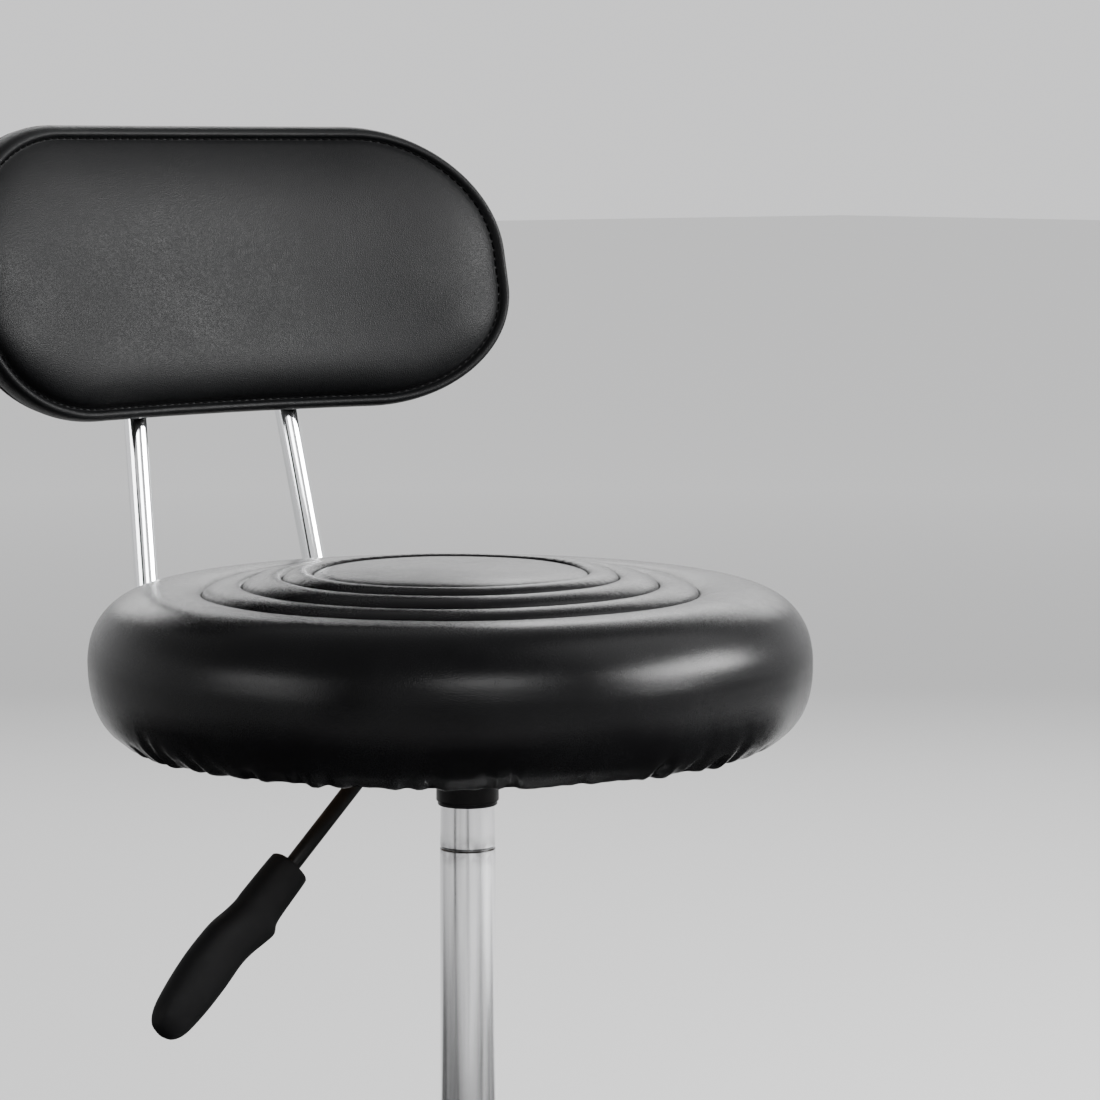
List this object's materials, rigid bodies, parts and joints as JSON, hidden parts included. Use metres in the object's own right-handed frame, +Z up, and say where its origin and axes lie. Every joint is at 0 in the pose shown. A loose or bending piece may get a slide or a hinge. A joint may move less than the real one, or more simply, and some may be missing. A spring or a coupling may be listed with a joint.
{
  "type": "rolling stylist stool",
  "caption": "Round padded salon stool with sewn rings, a low curved backrest on two rods, a gas lift with a pull-up lever and a wheeled star base.",
  "frame": {"origin": "on the floor under the column axis, which is the middle of the footprint", "axes": "+Z up along the column, -Y towards the front of the seat, +Y towards the backrest, -X towards the lever"},
  "size_m": [0.4996, 0.521, 0.788],
  "materials": {
    "chrome": "polished",
    "steel": "satin",
    "black_steel": "satin",
    "black_nylon": "satin",
    "wheel_tread": "matte",
    "grip": "satin",
    "seat_vinyl": "satin",
    "back_vinyl": "satin",
    "foam": "matte",
    "plywood": "matte"
  },
  "bodies": {
    "base": {"base_hub": "chrome", "base_leg_1": "chrome", "base_leg_2": "chrome", "base_leg_3": "chrome", "base_leg_4": "chrome", "base_leg_5": "chrome", "column_tube": "chrome", "guide_bush": "black_nylon", "bearing_race_lower": "steel", "caster_1_stem": "steel", "caster_2_stem": "steel", "caster_3_stem": "steel", "caster_4_stem": "steel", "caster_5_stem": "steel"},
    "piston": {"piston_rod": "steel", "retaining_clip": "steel", "bearing_race_upper": "steel"},
    "seat": {"gas_cylinder": "chrome", "taper_socket": "black_steel", "mounting_pan": "black_steel", "lever_pivot_pin": "steel", "seat_bolt_1": "steel", "seat_bolt_2": "steel", "seat_bolt_3": "steel", "seat_bolt_4": "steel", "seat_board": "plywood", "seat_foam": "foam", "seat_cover": "seat_vinyl", "back_rod_right": "chrome", "back_rod_left": "chrome", "rod_clamp_right": "black_steel", "rod_clamp_left": "black_steel", "backrest_board": "plywood", "backrest_foam": "foam", "backrest_cover_front": "back_vinyl", "backrest_cover_rear": "back_vinyl"},
    "lever": {"lever_rod": "black_steel", "lever_grip": "grip"},
    "release_button": {"release_pin": "steel"},
    "caster_1": {"caster_1_hood": "black_nylon", "caster_1_axle": "steel"},
    "wheel_1a": {"caster_1_wheel_a": "wheel_tread"},
    "wheel_1b": {"caster_1_wheel_b": "wheel_tread"},
    "caster_2": {"caster_2_hood": "black_nylon", "caster_2_axle": "steel"},
    "wheel_2a": {"caster_2_wheel_a": "wheel_tread"},
    "wheel_2b": {"caster_2_wheel_b": "wheel_tread"},
    "caster_3": {"caster_3_hood": "black_nylon", "caster_3_axle": "steel"},
    "wheel_3a": {"caster_3_wheel_a": "wheel_tread"},
    "wheel_3b": {"caster_3_wheel_b": "wheel_tread"},
    "caster_4": {"caster_4_hood": "black_nylon", "caster_4_axle": "steel"},
    "wheel_4a": {"caster_4_wheel_a": "wheel_tread"},
    "wheel_4b": {"caster_4_wheel_b": "wheel_tread"},
    "caster_5": {"caster_5_hood": "black_nylon", "caster_5_axle": "steel"},
    "wheel_5a": {"caster_5_wheel_a": "wheel_tread"},
    "wheel_5b": {"caster_5_wheel_b": "wheel_tread"}
  },
  "joints": [
    {"name": "seat_swivel", "type": "hinge", "parent": "base", "child": "piston", "pos_m": [0, 0, 0.0665], "axis": [0, 0, 1], "continuous": true},
    {"name": "height_slide", "type": "slide", "parent": "piston", "child": "seat", "axis": [0, 0, 1], "range_m": [-0.14, 0]},
    {"name": "lever_pull", "type": "hinge", "parent": "seat", "child": "lever", "pos_m": [-0.022, 0, 0.474], "axis": [0, 1, 0], "range_deg": [0, 8], "stiffness_Nm_per_rad": 3, "springref_deg": -4.58},
    {"name": "pin_press", "type": "slide", "parent": "seat", "child": "release_button", "axis": [0, 0, -1], "range_m": [0, 0.0034]},
    {"name": "caster_1_swivel", "type": "hinge", "parent": "base", "child": "caster_1", "pos_m": [0, -0.214, 0.062], "axis": [0, 0, 1], "continuous": true},
    {"name": "wheel_1a_spin", "type": "hinge", "parent": "caster_1", "child": "wheel_1a", "pos_m": [0.00374, -0.23161, 0.025], "axis": [0.9781, 0.2079, 0], "continuous": true},
    {"name": "wheel_1b_spin", "type": "hinge", "parent": "caster_1", "child": "wheel_1b", "pos_m": [0.00374, -0.23161, 0.025], "axis": [0.9781, 0.2079, 0], "continuous": true},
    {"name": "caster_2_swivel", "type": "hinge", "parent": "base", "child": "caster_2", "pos_m": [0.20353, -0.06613, 0.062], "axis": [0, 0, 1], "continuous": true},
    {"name": "wheel_2a_spin", "type": "hinge", "parent": "caster_2", "child": "wheel_2a", "pos_m": [0.22113, -0.06239, 0.025], "axis": [-0.2079, 0.9781, 0], "continuous": true},
    {"name": "wheel_2b_spin", "type": "hinge", "parent": "caster_2", "child": "wheel_2b", "pos_m": [0.22113, -0.06239, 0.025], "axis": [-0.2079, 0.9781, 0], "continuous": true},
    {"name": "caster_3_swivel", "type": "hinge", "parent": "base", "child": "caster_3", "pos_m": [0.12579, 0.17313, 0.062], "axis": [0, 0, 1], "continuous": true},
    {"name": "wheel_3a_spin", "type": "hinge", "parent": "caster_3", "child": "wheel_3a", "pos_m": [0.14071, 0.18319, 0.025], "axis": [-0.5592, 0.829, 0], "continuous": true},
    {"name": "wheel_3b_spin", "type": "hinge", "parent": "caster_3", "child": "wheel_3b", "pos_m": [0.14071, 0.18319, 0.025], "axis": [-0.5592, 0.829, 0], "continuous": true},
    {"name": "caster_4_swivel", "type": "hinge", "parent": "base", "child": "caster_4", "pos_m": [-0.12579, 0.17313, 0.062], "axis": [0, 0, 1], "continuous": true},
    {"name": "wheel_4a_spin", "type": "hinge", "parent": "caster_4", "child": "wheel_4a", "pos_m": [-0.14071, 0.18319, 0.025], "axis": [-0.5592, -0.829, 0], "continuous": true},
    {"name": "wheel_4b_spin", "type": "hinge", "parent": "caster_4", "child": "wheel_4b", "pos_m": [-0.14071, 0.18319, 0.025], "axis": [-0.5592, -0.829, 0], "continuous": true},
    {"name": "caster_5_swivel", "type": "hinge", "parent": "base", "child": "caster_5", "pos_m": [-0.20353, -0.06613, 0.062], "axis": [0, 0, 1], "continuous": true},
    {"name": "wheel_5a_spin", "type": "hinge", "parent": "caster_5", "child": "wheel_5a", "pos_m": [-0.22113, -0.06239, 0.025], "axis": [-0.2079, -0.9781, 0], "continuous": true},
    {"name": "wheel_5b_spin", "type": "hinge", "parent": "caster_5", "child": "wheel_5b", "pos_m": [-0.22113, -0.06239, 0.025], "axis": [-0.2079, -0.9781, 0], "continuous": true}
  ],
  "couplings": [
    {"joint": "pin_press", "follows": "lever_pull", "m_per_rad": 0.024}
  ]
}
